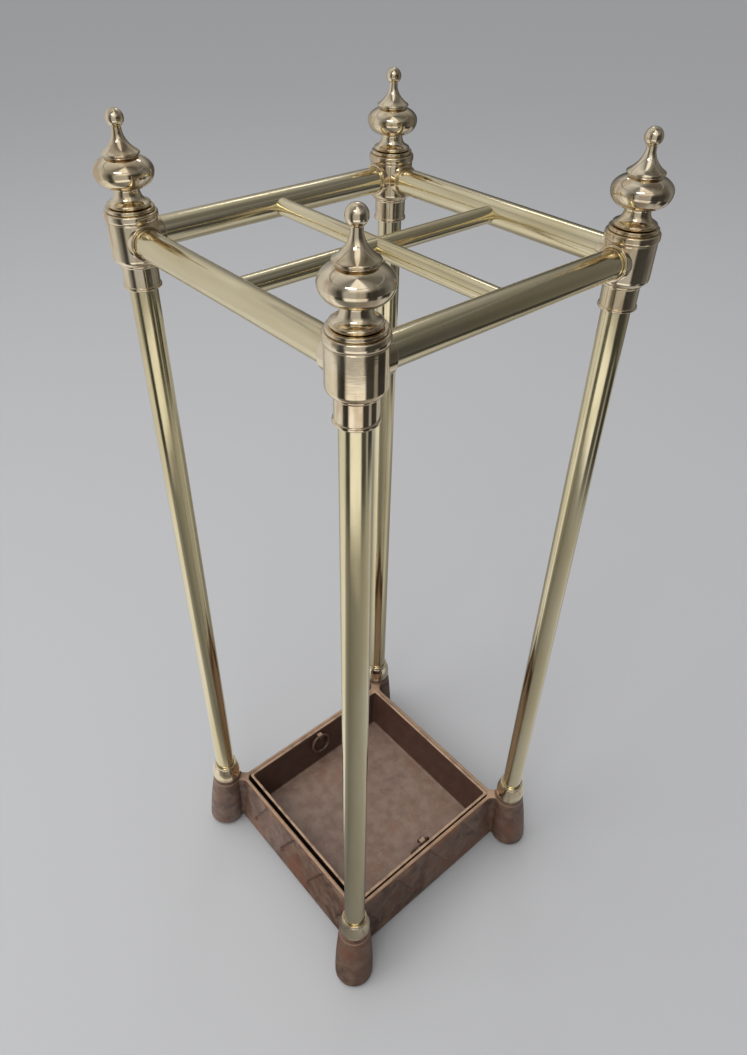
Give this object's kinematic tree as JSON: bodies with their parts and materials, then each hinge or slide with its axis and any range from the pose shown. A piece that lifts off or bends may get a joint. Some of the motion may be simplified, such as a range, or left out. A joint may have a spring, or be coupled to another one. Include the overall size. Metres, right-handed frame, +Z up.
{
  "type": "umbrella stand",
  "caption": "Square umbrella and stick stand with brass tube uprights and rails, crossed dividers, turned finials and a cast-iron base with a lift-out drip tray.",
  "frame": {"origin": "on the floor, under the middle of the stand", "axes": "+Z up; the four uprights stand at plus and minus X and Y; the ring pulls are on the tray's -Y (front) and +Y (back) walls"},
  "size_m": [0.2254, 0.2254, 0.6283],
  "materials": {
    "brass": "polished, with age marks",
    "cast_iron": "worn rust-brown lacquer over rough castings",
    "tray_iron": "worn brown lacquer, satin floor",
    "ring_iron": "dark brown iron",
    "steel": "plain"
  },
  "bodies": {
    "stand": {"base_casting": "cast_iron", "foot_collar_front_left": "brass", "upright_front_left": "brass", "corner_socket_front_left": "brass", "finial_front_left": "brass", "tie_rod_front_left": "steel", "nut_front_left": "steel", "washer_front_left": "steel", "foot_collar_front_right": "brass", "upright_front_right": "brass", "corner_socket_front_right": "brass", "finial_front_right": "brass", "tie_rod_front_right": "steel", "nut_front_right": "steel", "washer_front_right": "steel", "foot_collar_back_right": "brass", "upright_back_right": "brass", "corner_socket_back_right": "brass", "finial_back_right": "brass", "tie_rod_back_right": "steel", "nut_back_right": "steel", "washer_back_right": "steel", "foot_collar_back_left": "brass", "upright_back_left": "brass", "corner_socket_back_left": "brass", "finial_back_left": "brass", "tie_rod_back_left": "steel", "nut_back_left": "steel", "washer_back_left": "steel", "rail_front": "brass", "rail_right": "brass", "rail_back": "brass", "rail_left": "brass", "cross_bar_left_right": "brass", "cross_bar_front_back": "brass"},
    "tray": {"drip_tray": "tray_iron"},
    "ring_front": {"ring_pull_front": "ring_iron"},
    "ring_back": {"ring_pull_back": "ring_iron"}
  },
  "joints": [
    {"name": "tray_lift", "type": "slide", "parent": "stand", "child": "tray", "axis": [0, 0, 1], "range_m": [0, 0.1]},
    {"name": "ring_front_hinge", "type": "hinge", "parent": "tray", "child": "ring_front", "pos_m": [0.0011, -0.07293, 0.059], "axis": [1, 0, 0], "range_deg": [0, 170]},
    {"name": "ring_back_hinge", "type": "hinge", "parent": "tray", "child": "ring_back", "pos_m": [0.0011, 0.07293, 0.059], "axis": [-1, 0, 0], "range_deg": [0, 170]}
  ]
}
